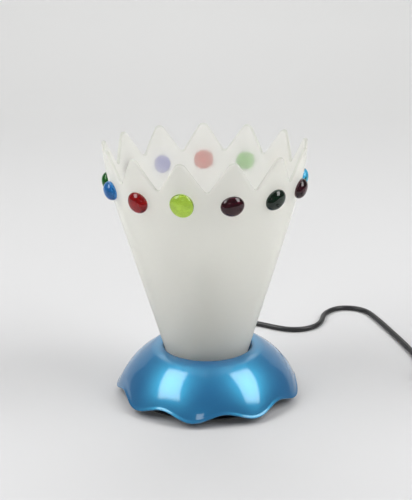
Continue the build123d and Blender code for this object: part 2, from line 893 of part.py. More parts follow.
def make_switch_lower():
    shell = Pos(0, 0, floor_gap) * extrude(switch_outline(0), switch_split - floor_gap)
    shell = fillet(shell.edges().group_by(Axis.Z)[0], 1.0)
    shell = shell - Pos(0, 0, floor_gap + switch_wall) * extrude(switch_outline(switch_wall), switch_split)
    for x, y in switch_screw_spots():
        shell = shell + rod(3.2, floor_gap + switch_wall, switch_split, x, y)
        shell = shell - rod(screw_radius + 0.1, 0, switch_split, x, y)
        shell = shell - rod(screw_head_radius - 0.3, 0, 2.2, x, y)
    return switch_frame() * shell


def make_switch_upper():
    roof = switch_height - switch_wall
    shell = Pos(0, 0, switch_split) * extrude(switch_outline(0), switch_height - switch_split)
    shell = fillet(shell.edges().group_by(Axis.Z)[-1], switch_round)
    shell = shell - Pos(0, 0, switch_split) * extrude(switch_outline(switch_wall), roof - switch_split)
    for x, y in switch_screw_spots():
        shell = shell + rod(3.2, switch_split, roof, x, y) - rod(screw_radius, switch_split, roof - 1, x, y)
    cheek_low = rocker_pivot_height - rocker_below
    for side in (-1, 1):
        across = side * (rocker_width / 2 + rocker_gap + cheek_thickness / 2)
        cheek = Box(cheek_length, cheek_thickness, roof - cheek_low)
        shell = shell + Pos(0, across, (roof + cheek_low) / 2) * cheek
    window = Box(rocker_length + 2 * rocker_gap, rocker_width + 2 * rocker_gap, switch_height)
    shell = shell - Pos(0, 0, cheek_low + switch_height / 2) * window
    hole = Rot(90, 0, 0) * Cylinder(trunnion_radius + trunnion_gap, switch_width - 2 * switch_wall)
    shell = shell - Pos(0, 0, rocker_pivot_height) * hole
    return switch_frame() * shell


def make_switch_rocker():
    """The rocker in its off position; it turns about the trunnions across the switch."""
    barrel = Rot(90, 0, 0) * Cylinder(rocker_length / 2, rocker_width)
    slab_height = rocker_above + rocker_below
    slab = Pos(0, 0, (rocker_above - rocker_below) / 2) * Box(rocker_length, rocker_width, slab_height)
    rocker = barrel & slab
    half = rocker_length / 2
    dish = (half**2 + rocker_dish**2) / (2 * rocker_dish)
    hollow = Rot(90, 0, 0) * Cylinder(dish, rocker_width)
    rocker = rocker - Pos(0, 0, rocker_above - rocker_dish + dish) * hollow
    span = rocker_width + 2 * trunnion_length
    rocker = rocker + Rot(90, 0, 0) * Cylinder(trunnion_radius, span)
    return switch_frame() * Pos(0, 0, rocker_pivot_height) * Rot(0, rocker_tilt, 0) * rocker


def make_switch_screws():
    screws = []
    for x, y in switch_screw_spots():
        head = rod(screw_head_radius - 0.5, 0.7, 2.2, x, y)
        shank = rod(screw_radius - screw_gap, 2.2, 12.0, x, y)
        screws.append(switch_frame() * (head + shank))
    return screws


def make_switch_contacts():
    """Two brass strips on the lower shell's floor, each with an upright contact."""
    low = floor_gap + switch_wall
    contacts = []
    for side in (-1, 1):
        strip = Pos(side * 9.5, 0, low + 0.5) * Box(15, 4, 1)
        post = Pos(side * 3.5, 0, low + 2.4) * Box(1, 4, 4.8)
        contacts.append(switch_frame() * (strip + post))
    return contacts


# Plug, made along X from the cord towards the pins


def plug_frame():
    points = tail_points()
    heading = (Vector(points[-1]) - Vector(points[-2])).normalized()
    return Plane(points[-1], x_dir=heading, z_dir=(0, 0, 1)).location


def plug_section(along, width, thickness):
    corner = min(plug_corner, thickness / 2 - 0.1)
    plane = Plane((along, 0, 0), x_dir=(0, 1, 0), z_dir=(1, 0, 0))
    return plane * RectangleRounded(width, thickness, corner)


def make_plug_body():
    sections = [
        plug_section(0, plug_neck, plug_neck),
        plug_section(plug_length * 0.3, plug_neck * 1.5, plug_neck * 1.25),
        plug_section(plug_length * 0.62, plug_width, plug_thickness),
        plug_section(plug_length, plug_width, plug_thickness),
    ]
    return plug_frame() * loft(sections, ruled=True)


def make_plug_pins():
    pins = []
    for side in (-1, 1):
        plane = Plane((plug_length, side * pin_spacing / 2, 0), z_dir=(1, 0, 0))
        pin = extrude(plane * Circle(pin_radius), pin_length)
        pin = fillet(pin.edges().group_by(Axis.X)[-1], 1.2)
        pins.append(plug_frame() * pin)
    return pins


def save(name, made):
    """Write one sub-part; a list of separate solids goes into one file."""
    solids = made if isinstance(made, list) else [made]
    shape = Compound(children=[solid for item in solids for solid in item.solids()])
    shape.label = name
    export_step(shape, f"parts/{name}.step")


def main():
    os.makedirs("parts", exist_ok=True)
    save("base_shell", make_base_shell())
    save("bottom_plate", make_bottom_plate())
    save("plate_screws", make_plate_screws())
    save("rubber_feet", make_rubber_feet())
    save("seat_ring", make_seat_ring())
    save("shade_glass", make_shade_glass())
    for name, *measures in nuggets:
        save(name, make_nugget(*measures))
    save("threaded_nipple", make_nipple())
    save("nipple_nut", make_nipple_nut())
    save("lock_washer", make_lock_washer())
    save("spacer_tube", make_spacer_tube())
    save("holder_cap", make_holder_cap())
    save("holder_core", make_holder_core())
    save("terminal_screws", make_terminal_screws())
    save("holder_sleeve", make_holder_sleeve())
    save("thread_shell", make_thread_shell())
    save("centre_contact", make_centre_contact())
    save("bulb_cap", make_bulb_cap())
    save("bulb_insulator", make_bulb_insulator())
    save("bulb_contact", make_bulb_contact())
    save("bulb_glass", make_bulb_glass())
    save("cord_bush", make_cord_bush())
    save("inner_sheath", make_inner_sheath())
    save("core_wires", make_core_wires())
    save("clamp_bar", make_clamp_bar())
    save("clamp_screws", make_clamp_screws())
    save("cord_lead", cord_along("lead", lead_points()))
    save("cord_feed", cord_along("feed", feed_points()))
    save("cord_coil", make_cord_coil())
    save("coil_tie", make_coil_tie())
    save("cord_tail", cord_along("tail", tail_points()))
    save("switch_lower", make_switch_lower())
    save("switch_upper", make_switch_upper())
    save("switch_rocker", make_switch_rocker())
    save("switch_screws", make_switch_screws())
    save("switch_contacts", make_switch_contacts())
    save("plug_body", make_plug_body())
    save("plug_pins", make_plug_pins())


main()
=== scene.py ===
# Table lamp with a frosted glass crown and glass nuggets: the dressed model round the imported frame.
# Sizes in the dictionaries are in millimetres, as in the part's source; meshes are in metres.

import math

import bpy
import numpy as np
from mathutils import Matrix, Vector


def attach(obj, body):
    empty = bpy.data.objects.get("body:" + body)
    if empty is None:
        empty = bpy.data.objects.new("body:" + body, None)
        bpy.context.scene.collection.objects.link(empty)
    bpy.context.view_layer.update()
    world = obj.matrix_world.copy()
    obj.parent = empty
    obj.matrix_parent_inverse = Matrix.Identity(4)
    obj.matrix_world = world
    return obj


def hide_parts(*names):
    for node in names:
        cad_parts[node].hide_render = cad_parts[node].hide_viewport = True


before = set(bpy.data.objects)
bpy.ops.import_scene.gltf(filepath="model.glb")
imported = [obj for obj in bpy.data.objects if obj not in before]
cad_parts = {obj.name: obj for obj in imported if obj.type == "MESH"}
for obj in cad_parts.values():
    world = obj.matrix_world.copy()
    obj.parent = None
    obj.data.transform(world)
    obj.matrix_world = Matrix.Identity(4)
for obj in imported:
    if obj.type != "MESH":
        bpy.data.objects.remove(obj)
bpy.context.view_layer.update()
mm = 0.001
print("frame loaded")


# Mesh helpers


def gridQuads(rows, columns, closedRows=False, closedColumns=True):
    # Quads of a grid that is numbered row by row; a closed direction joins its last line to its first.
    i = np.arange(rows if closedRows else rows - 1)[:, None]
    j = np.arange(columns if closedColumns else columns - 1)[None, :]
    nextI, nextJ = (i + 1) % rows, (j + 1) % columns
    corners = [i * columns + j, i * columns + nextJ, nextI * columns + nextJ, nextI * columns + j]
    shape = np.broadcast_shapes(i.shape, j.shape)
    return np.stack([np.broadcast_to(corner, shape) for corner in corners], -1).reshape(-1, 4)


def joinShells(*shells):
    # Several (points, quads) shells as one, with the later quads counted on.
    points, quads, start = [], [], 0
    for shellPoints, shellQuads in shells:
        flat = shellPoints.reshape(-1, 3)
        points.append(flat)
        quads.append(shellQuads + start)
        start += len(flat)
    return np.concatenate(points), np.concatenate(quads)


def weldedPiece(name, shell, body, material):
    # Points that coincide become one; a quad that lost a corner becomes a triangle.
    points, quads = shell
    points = points.reshape(-1, 3) * mm
    keys = np.round(points * 1e6).astype(np.int64)
    _, first, inverse = np.unique(keys, axis=0, return_index=True, return_inverse=True)
    quads = inverse.reshape(-1)[quads]
    same = quads == np.roll(quads, -1, axis=1)
    whole = quads[~same.any(axis=1)]
    cut = same.sum(axis=1) == 1
    triangles = quads[cut][~same[cut]].reshape(-1, 3)
    mesh = bpy.data.meshes.new(name)
    mesh.from_pydata(points[first].tolist(), [], whole.tolist() + triangles.tolist())
    mesh.polygons.foreach_set("use_smooth", np.full(len(mesh.polygons), True))
    mesh.materials.append(material)
    piece = bpy.data.objects.new(name, mesh)
    bpy.context.scene.collection.objects.link(piece)
    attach(piece, body)
    return piece


def turnedShell(profile, steps):
    # A closed profile of (radius, height) rows turned round Z: x = r sin a, y = -r cos a.
    angle = np.arange(steps) * 2 * np.pi / steps
    profile = np.asarray(profile, float)
    radius, height = profile[:, :1], profile[:, 1:]
    points = np.stack([radius * np.sin(angle), -radius * np.cos(angle), height + 0 * angle], -1)
    return points, gridQuads(len(profile), steps, closedRows=True)


def softened(corners, radius, steps):
    # Each corner of a closed outline becomes a parabola that starts and ends the radius away from it.
    corner = np.asarray(corners, float)
    before, after = np.roll(corner, 1, axis=0) - corner, np.roll(corner, -1, axis=0) - corner
    lengths = [np.linalg.norm(way, axis=1, keepdims=True) for way in (before, after)]
    reach = np.minimum(radius, 0.45 * np.minimum(*lengths))
    start, end = corner + before / lengths[0] * reach, corner + after / lengths[1] * reach
    t = np.linspace(0, 1, steps)[None, :, None]
    curve = (1 - t) ** 2 * start[:, None] + 2 * t * (1 - t) * corner[:, None] + t**2 * end[:, None]
    return curve.reshape(-1, corner.shape[1])


def placed(shell, origin, way):
    # Moves a shell made about the origin to a place, with its Z along a level way and its X up.
    z = Vector(way).normalized()
    x = Vector((0, 0, 1))
    y = z.cross(x).normalized()
    x = y.cross(z)
    turn = np.array([x, y, z])
    return shell[0] @ turn + np.asarray(origin, float), shell[1]


# Material helpers


def newMaterial(name, colour, roughness, metallic=0.0):
    material = bpy.data.materials.new(name)
    material.use_nodes = True
    shader = material.node_tree.nodes["Principled BSDF"]
    shader.inputs["Base Color"].default_value = (*colour, 1)
    shader.inputs["Roughness"].default_value = roughness
    shader.inputs["Metallic"].default_value = metallic
    material.diffuse_color = (*colour, 1)
    return material


def nodeOf(material, kind, **values):
    node = material.node_tree.nodes.new(kind)
    for key, value in values.items():
        setattr(node, key, value)
    return node


def link(material, source, target):
    material.node_tree.links.new(source, target)


def objectNoise(material, scale, detail=3.0, stretch=(1, 1, 1)):
    # Noise on Object coordinates; scale counts features in a metre.
    coordinates = nodeOf(material, "ShaderNodeTexCoord")
    mapping = nodeOf(material, "ShaderNodeMapping")
    mapping.inputs["Scale"].default_value = stretch
    noise = nodeOf(material, "ShaderNodeTexNoise")
    noise.inputs["Scale"].default_value = scale
    noise.inputs["Detail"].default_value = detail
    link(material, coordinates.outputs["Object"], mapping.inputs["Vector"])
    link(material, mapping.outputs["Vector"], noise.inputs["Vector"])
    return noise.outputs["Fac"]


def spread(material, value, low, high, fromLow=0.3, fromHigh=0.7):
    ramp = nodeOf(material, "ShaderNodeMapRange")
    for socket, number in zip(("From Min", "From Max", "To Min", "To Max"), (fromLow, fromHigh, low, high)):
        ramp.inputs[socket].default_value = number
    link(material, value, ramp.inputs["Value"])
    return ramp.outputs["Result"]


def tint(material, value, dark, light, socket=None):
    mix = nodeOf(material, "ShaderNodeMix", data_type="RGBA")
    mix.inputs["A"].default_value = (*dark, 1)
    mix.inputs["B"].default_value = (*light, 1)
    link(material, value, mix.inputs["Factor"])
    target = socket or material.node_tree.nodes["Principled BSDF"].inputs["Base Color"]
    link(material, mix.outputs["Result"], target)


def bumped(material, value, distance, strength=1.0):
    bump = nodeOf(material, "ShaderNodeBump")
    bump.inputs["Distance"].default_value = distance
    bump.inputs["Strength"].default_value = strength
    link(material, value, bump.inputs["Height"])
    link(material, bump.outputs["Normal"], material.node_tree.nodes["Principled BSDF"].inputs["Normal"])


def grained(name, colour, roughness, metallic=0.0, scale=900, bump=0.00003, shade=0.12, stretch=(1, 1, 1)):
    # A moulded or rubbed finish: colour and roughness wander a little and the surface has a fine grain.
    material = newMaterial(name, colour, roughness, metallic)
    shader = material.node_tree.nodes["Principled BSDF"]
    fine = objectNoise(material, scale, 2, stretch)
    broad = objectNoise(material, scale / 25, 3, stretch)
    dark = tuple(c * (1 - shade) for c in colour)
    light = tuple(min(1, c * (1 + shade)) for c in colour)
    tint(material, spread(material, broad, 0, 1), dark, light)
    rough = spread(material, broad, roughness * 0.85, min(1, roughness * 1.15))
    link(material, rough, shader.inputs["Roughness"])
    bumped(material, fine, bump)
    return material


# Finishes


basePaint = {
    "pigment": (0.001, 0.052, 0.255),
    "flakeDark": (0.020, 0.385, 0.590),
    "flakeLight": (0.036, 0.500, 0.710),
    "flakeShare": 0.41,
    "flakeScale": 2600,
    "flakeSmooth": 0.38,
    "flakeRough": 0.48,
    "bodyRoughness": 0.5,
    "rippleScale": 45,
    "rippleDepth": 0.0004,
    "rippleShare": 0.2,
    "coatRoughness": 0.035,
    "coatIor": 1.5,
}


def bluePaint():
    # Deep pigment and cyan metal flake under one clear lacquer, which a very slow ripple bends.
    material = newMaterial("bluePaint", basePaint["flakeLight"], 0.4, 1.0)
    nodes = material.node_tree.nodes
    flakes = nodes["Principled BSDF"]
    body = nodeOf(material, "ShaderNodeBsdfPrincipled")
    body.inputs["Base Color"].default_value = (*basePaint["pigment"], 1)
    body.inputs["Roughness"].default_value = basePaint["bodyRoughness"]
    sparkle = objectNoise(material, basePaint["flakeScale"], 1)
    tint(material, spread(material, sparkle, 0, 1), basePaint["flakeDark"], basePaint["flakeLight"])
    rough = spread(material, sparkle, basePaint["flakeSmooth"], basePaint["flakeRough"])
    link(material, rough, flakes.inputs["Roughness"])
    ripple = nodeOf(material, "ShaderNodeBump")
    ripple.inputs["Distance"].default_value = basePaint["rippleDepth"]
    ripple.inputs["Strength"].default_value = basePaint["rippleShare"]
    link(material, objectNoise(material, basePaint["rippleScale"], 1), ripple.inputs["Height"])
    for shader in (flakes, body):
        shader.inputs["Coat Weight"].default_value = 1.0
        shader.inputs["Coat Roughness"].default_value = basePaint["coatRoughness"]
        shader.inputs["Coat IOR"].default_value = basePaint["coatIor"]
        link(material, ripple.outputs["Normal"], shader.inputs["Coat Normal"])
    both = nodeOf(material, "ShaderNodeMixShader")
    both.inputs["Fac"].default_value = basePaint["flakeShare"]
    link(material, body.outputs["BSDF"], both.inputs[1])
    link(material, flakes.outputs["BSDF"], both.inputs[2])
    link(material, both.outputs["Shader"], nodes["Material Output"].inputs["Surface"])
    return material


frost = {
    "clear": (0.985, 0.985, 0.968),
    "milk": (0.93, 0.925, 0.875),
    "rimClearShaded": (0.84, 0.86, 0.80),
    "rimMilkShaded": (0.70, 0.715, 0.65),
    "clearRoughness": 0.56,
    "milkShare": 0.36,
    "throughShare": 0.45,
    "ior": 1.46,
    "etchScale": 2200,
    "etchDepth": 0.00002,
    "rimShadeFrom": 0.32,
    "rimShadeTo": 0.6,
}


def frostedGlass():
    # Etched glass: part rough refraction, part milky scatter both back and through the wall. Where the
    # normal points up more than the walls' do, which is mostly the ground rim, the colour is painted darker
    # and greener: painted shade against the light from above, together with the green tint of a glass edge.
    material = newMaterial("frostedGlass", frost["clear"], frost["clearRoughness"])
    nodes = material.node_tree.nodes
    shader = nodes["Principled BSDF"]
    shader.inputs["Transmission Weight"].default_value = 1.0
    shader.inputs["IOR"].default_value = frost["ior"]
    milk = nodeOf(material, "ShaderNodeBsdfDiffuse")
    milk.inputs["Color"].default_value = (*frost["milk"], 1)
    through = nodeOf(material, "ShaderNodeBsdfTranslucent")
    through.inputs["Color"].default_value = (*frost["milk"], 1)
    scatter = nodeOf(material, "ShaderNodeMixShader")
    scatter.inputs["Fac"].default_value = frost["throughShare"]
    both = nodeOf(material, "ShaderNodeMixShader")
    both.inputs["Fac"].default_value = frost["milkShare"]
    etch = nodeOf(material, "ShaderNodeBump")
    etch.inputs["Distance"].default_value = frost["etchDepth"]
    link(material, objectNoise(material, frost["etchScale"], 2), etch.inputs["Height"])
    for target in (shader, milk, through):
        link(material, etch.outputs["Normal"], target.inputs["Normal"])
    split = nodeOf(material, "ShaderNodeSeparateXYZ")
    link(material, nodeOf(material, "ShaderNodeTexCoord").outputs["Normal"], split.inputs["Vector"])
    # Painted shade: faces whose normal points up, mostly the rim, are tinted darker and greener.
    rimShadeMask = spread(material, split.outputs["Z"], 0, 1, frost["rimShadeFrom"], frost["rimShadeTo"])
    tint(material, rimShadeMask, frost["clear"], frost["rimClearShaded"])
    for target in (milk, through):
        tint(material, rimShadeMask, frost["milk"], frost["rimMilkShaded"], target.inputs["Color"])
    link(material, milk.outputs["BSDF"], scatter.inputs[1])
    link(material, through.outputs["BSDF"], scatter.inputs[2])
    link(material, shader.outputs["BSDF"], both.inputs[1])
    link(material, scatter.outputs["Shader"], both.inputs[2])
    link(material, both.outputs["Shader"], nodes["Material Output"].inputs["Surface"])
    return material


nuggetGlass = {
    "roughness": 0.03,
    "ior": 1.5,
    "swirlScale": 160,
    "swirlShade": 0.18,
    "dentScale": 90,
    "dentDepth": 0.0003,
    "dentShare": 0.3,
}


def colouredGlass(name, colour, clearness):
    # Tumbled glass: clear to a share, the rest a deep body colour, with faint swirls in it.
    material = newMaterial(name, colour, nuggetGlass["roughness"])
    shader = material.node_tree.nodes["Principled BSDF"]
    shader.inputs["Transmission Weight"].default_value = clearness
    shader.inputs["IOR"].default_value = nuggetGlass["ior"]
    swirl = objectNoise(material, nuggetGlass["swirlScale"], 3)
    dark = tuple(c * (1 - nuggetGlass["swirlShade"]) for c in colour)
    light = tuple(min(1, c * (1 + nuggetGlass["swirlShade"])) for c in colour)
    tint(material, spread(material, swirl, 0, 1), dark, light)
    dents = objectNoise(material, nuggetGlass["dentScale"], 1)
    bumped(material, dents, nuggetGlass["dentDepth"], nuggetGlass["dentShare"])
    return material


paint = bluePaint()
glass = frostedGlass()
blackCord = grained("cordSheath", (0.012, 0.012, 0.013), 0.38, scale=1500, bump=0.00001)
bushRubber = grained("bushRubber", (0.011, 0.011, 0.012), 0.55, scale=1200)
plugPlastic = grained("plugPlastic", (0.013, 0.013, 0.014), 0.45, scale=1400)
print("main finishes ready")


# Camera, set up as the photograph was taken: a point ahead of it at distance z shows at
# 206 + 1066.4 right/z and 250 - 1066.4 up/z pixels of the 412 by 500 frame.


view = {
    "aimX": -0.63,
    "aimHeight": 131.4,
    "distance": 926.9,
    "pitch": 17.36,
    "roll": -0.6,
    "focal": 1066.4,
    "frameHeight": 500,
    "sensor": 36,
}


def makeCamera():
    pitch, roll = math.radians(view["pitch"]), math.radians(view["roll"])
    forward = Vector((0, math.cos(pitch), -math.sin(pitch)))
    right = Vector((1, 0, 0))
    up = right.cross(forward)
    across = math.cos(roll) * right + math.sin(roll) * up
    upward = -math.sin(roll) * right + math.cos(roll) * up
    eye = (Vector((view["aimX"], 0, view["aimHeight"])) - view["distance"] * forward) * mm
    data = bpy.data.cameras.new("camera")
    data.sensor_fit = "VERTICAL"
    data.sensor_height = view["sensor"]
    data.lens = view["focal"] * view["sensor"] / view["frameHeight"]
    data.clip_start = 0.02
    camera = bpy.data.objects.new("camera", data)
    bpy.context.scene.collection.objects.link(camera)
    turn = Matrix((across, upward, -forward)).transposed()
    camera.matrix_world = Matrix.Translation(eye) @ turn.to_4x4()
    bpy.context.scene.camera = camera


makeCamera()
print("camera ready")


# Cord. The route's points are the ones of the part's source, in millimetres, made metres when used.


cord = {
    "diameter": 5.2,
    "length": 1.76,
    "floorHeight": 2.7,
    "switchHeight": 6.5,
    "exit": (15.722, 99.263, 12.0),
    "exitTurn": 171.0,
    "coilCentre": (264.5, -100.0),
    "coilRadius": 36.5,
    "coilPitch": 5.7,
    "coilTurns": 3,
    "coilInset": 0.95,
    "coilLow": 3.45,
    "coilHigh": 9.15,
}


def wayOut():
    # The point of the lamp's axis that is level with the cord, and the cord's way out from there.
    turn = math.radians(cord["exitTurn"])
    return np.array([0, 0, cord["exit"][2]]), np.array([math.sin(turn), -math.cos(turn), 0])


def coilPoints():
    # Twelve points a turn. The radius falls a half pitch each half turn, in on the lower layer and out
    # on the upper one; the points stand a little outside the line so that the spline keeps its radius.
    halves = 2 * cord["coilTurns"]
    inner = cord["coilRadius"] - halves * cord["coilPitch"] / 2
    radii = cord["coilRadius"] - np.arange(halves) * cord["coilPitch"] / 2
    radii = np.concatenate([radii, [inner - cord["coilInset"]] * 2, radii[::-1]])
    step = np.arange(0, len(radii) - 1 + 1e-9, 1 / 6)
    radius = np.interp(step, np.arange(len(radii)), radii) / math.cos(math.pi / 12) ** 0.75
    climb = np.clip(step - halves, 0, 1)
    height = cord["coilLow"] + (cord["coilHigh"] - cord["coilLow"]) * climb
    angle = math.pi + step * math.pi
    x = cord["coilCentre"][0] + radius * np.cos(angle)
    y = cord["coilCentre"][1] + radius * np.sin(angle)
    return np.stack([x, y, height], -1)[1:-1].tolist()


def makeCord():
    low, high = cord["floorHeight"], cord["switchHeight"]
    lead = [
        cord["exit"], (17.286, 109.14, 12.0), (15.2, 124, 7.8), (17, 141.5, 3.4),
        (30.3, 154.8, low), (48.6, 156.2, low), (65.6, 144.5, low), (85.1, 134, low),
        (105.1, 137.5, low), (119.1, 153.5, low), (124.1, 182, low), (144.1, 200, low),
        (169.6, 191.5, low), (178.6, 163, low), (187.6, 125.5, low), (195.6, 90.5, low),
        (200.4, 62, low), (204.2, 40, high), (207.4, 23.5, high),
    ]
    feed = [
        (219.204, -37.366, high), (222.06, -52.09, high), (226.5, -78, 3.85),
        (228, -89, 3.45), (228, -100, 3.45),
    ]
    tail = [
        (301, -100, 9.15), (301, -78, 9.15), (299, -58, 5.4), (294.5, -39, low),
        (288, -20.5, low), (281, 0, 6.95), (277, 13.4, 6.95),
    ]
    points = lead + feed + coilPoints() + tail
    curve = bpy.data.curves.new("mainsCord", "CURVE")
    curve.dimensions = "3D"
    curve.bevel_depth = cord["diameter"] / 2 * mm
    curve.bevel_resolution = 5
    curve.use_fill_caps = True
    curve.resolution_u = 6
    spline = curve.splines.new("NURBS")
    spline.points.add(len(points) - 1)
    spline.points.foreach_set("co", np.array([[x * mm, y * mm, z * mm, 1] for x, y, z in points]).ravel())
    spline.order_u = 3
    spline.use_endpoint_u = True
    curve.materials.append(blackCord)
    piece = bpy.data.objects.new("mainsCord", curve)
    bpy.context.scene.collection.objects.link(piece)
    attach(piece, "base")
    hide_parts("cord_lead", "cord_feed", "cord_coil", "cord_tail")
    return piece


mainsCord = makeCord()
print("cord ready")


# Glass shade


shade = {
    "height": 227.0,
    "wall": 3.6,
    "slope": 0.2972,
    "crownSlope": 0.215,
    "bendStart": 160.0,
    "bendEnd": 200.0,
    "seatRadius": 37.9,
    "seatHeight": 43.0,
    "foot": 22.8,
    "shift": -0.6,
    "spikes": 13,
    "turn": 0.87,
    "valley": 203.6,
    "tipRound": 5.4,
    "valleyRound": 3.0,
    "footBevel": 0.6,
}


def shadeRadius(height):
    # A straight cone, an eased bend and a steeper crown.
    into = np.clip(height - shade["bendStart"], 0, shade["bendEnd"] - shade["bendStart"])
    below = np.minimum(height, shade["bendStart"]) - shade["seatHeight"]
    straight = shade["seatRadius"] + shade["slope"] * below
    lost = shade["slope"] - shade["crownSlope"]
    eased = shade["slope"] * into - lost * into**2 / (2 * (shade["bendEnd"] - shade["bendStart"]))
    return straight + eased + shade["crownSlope"] * np.maximum(height - shade["bendEnd"], 0)


def rimOutline():
    # One notch and its two half spikes, flat: a valley arc, the line that touches it and the tip's arc,
    # the tip's arc, and the same mirrored. Gives places and the ways out of the glass.
    half = shadeRadius(np.array(shade["height"])) * math.sin(math.pi / shade["spikes"])
    valleyCentre = np.array([0, shade["valley"] + shade["valleyRound"]])
    tipCentre = np.array([half, shade["height"] - shade["tipRound"]])
    apart = tipCentre - valleyCentre
    lean = math.atan2(apart[1], apart[0])
    lean += math.asin((shade["valleyRound"] + shade["tipRound"]) / np.hypot(*apart))
    valleyTurn = np.linspace(0, lean, 9)
    tipTurn = np.linspace(lean, 0, 9)
    valleyOut = np.stack([-np.sin(valleyTurn), np.cos(valleyTurn)], -1)
    tipOut = np.stack([-np.sin(tipTurn), np.cos(tipTurn)], -1)
    valleyArc = valleyCentre - shade["valleyRound"] * valleyOut
    tipArc = tipCentre + shade["tipRound"] * tipOut
    share = np.linspace(0, 1, 12)[1:-1, None]
    line = valleyArc[-1] * (1 - share) + tipArc[0] * share
    right = np.concatenate([valleyArc, line, tipArc])
    rightOut = np.concatenate([valleyOut, np.repeat(tipOut[:1], len(line), axis=0), tipOut])
    mirror = np.array([-1, 1])
    outline = np.concatenate([(right * mirror)[::-1], right[1:]])[1:]
    out = np.concatenate([(rightOut * mirror)[::-1], rightOut[1:]])[1:]
    return outline, out


def makeShade():
    outline, out = rimOutline()
    perSpike = len(outline)
    notch = np.repeat(np.arange(shade["spikes"]), perSpike)
    notchTurn = math.radians(shade["turn"]) + notch * 2 * np.pi / shade["spikes"]
    place = (np.tile(np.arange(perSpike), shade["spikes"]) + 0.5 - perSpike / 2) / perSpike
    even = notchTurn + place * 2 * np.pi / shade["spikes"]
    outline, out = np.tile(outline, (shade["spikes"], 1)), np.tile(out, (shade["spikes"], 1))
    roll = shade["wall"] / 2
    bevel = shade["footBevel"]

    def ringAt(flat, depth):
        # flat: (across, height); depth: how far inside the outer skin, level.
        radius = shadeRadius(flat[:, 1])
        angle = notchTurn + np.arcsin(flat[:, 0] / radius)
        return angle, radius - depth, flat[:, 1]

    inset = outline - roll * out
    topAngle, _, topHeight = ringAt(inset, 0)
    rows = []

    def wallRows(shares, depth):
        for share in shares:
            height = shade["foot"] + bevel + (topHeight - shade["foot"] - bevel) * share
            angle = even + (topAngle - even) * share**2
            rows.append((angle, shadeRadius(height) - depth, height))

    shares = 1 - (1 - np.linspace(0, 1, 46)) ** 1.25
    wallRows(shares, 0)
    for turn in np.linspace(0, np.pi, 10)[1:-1]:
        rows.append(ringAt(outline - roll * (1 - np.sin(turn)) * out, roll * (1 - np.cos(turn))))
    wallRows(shares[::-1], shade["wall"])
    low = np.full(len(even), shade["foot"])
    rows.append((even, shadeRadius(low) - shade["wall"] + bevel, low))
    rows.append((even, shadeRadius(low) - bevel, low))
    angle, radius, height = (np.array([row[k] for row in rows]) for k in range(3))
    points = np.stack([shade["shift"] + radius * np.sin(angle), -radius * np.cos(angle), height], -1)
    shell = (points, gridQuads(*angle.shape, closedRows=True))
    piece = weldedPiece("glassShade", shell, "shade", glass)
    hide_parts("shade_glass")


makeShade()
print("shade ready")


# Glass nuggets: name, spike, width, height, thickness, tilt, lift, colour, clearness


nuggets = [
    ("lime", 0, 19.6, 20.2, 6.6, 0, 0.8, (0.62, 0.92, 0.11), 0.92),
    ("red", -1, 19.2, 18.0, 7.2, 8, -1.1, (0.38, 0.001, 0.003), 0.8),
    ("blue", -2, 17.4, 16.2, 8.0, 0, 1.1, (0.03, 0.34, 0.82), 0.7),
    ("forest", -3, 17.2, 17.8, 8.0, 0, -0.8, (0.006, 0.13, 0.010), 0.85),
    ("smoke", -4, 17.0, 16.8, 7.4, 0, 0.4, (0.30, 0.30, 0.34), 0.9),
    ("violet", -5, 16.4, 16.8, 7.4, 0, -0.3, (0.26, 0.27, 0.95), 0.8),
    ("coral", 7, 18.8, 17.8, 7.6, 0, 1.2, (1.0, 0.05, 0.045), 0.75),
    ("green", 6, 18.6, 16.8, 7.6, 0, 1.6, (0.17, 0.74, 0.02), 0.8),
    ("amber", 5, 17.4, 17.0, 7.4, 0, -0.5, (0.80, 0.42, 0.05), 0.85),
    ("sky", 4, 17.6, 17.2, 7.8, 0, 0.5, (0.05, 0.50, 0.84), 0.94),
    ("damson", 3, 18.2, 17.0, 7.6, 0, 0.6, (0.060, 0.006, 0.016), 0.8),
    ("pine", 2, 20.0, 17.0, 7.2, 22, -0.3, (0.003, 0.022, 0.009), 0.6),
    ("plum", 1, 19.2, 17.2, 7.2, 8, -0.3, (0.050, 0.003, 0.010), 0.75),
]
nuggetForm = {
    "height": 192.6,
    "glue": 0.12,
    "belly": 0.30,
    "footShare": 0.84,
    "domePower": 2.6,
    "domeEase": 0.62,
    "frontFlatness": 0.7,
    "ovalness": 0.012,
    "unevenness": 0.008,
}


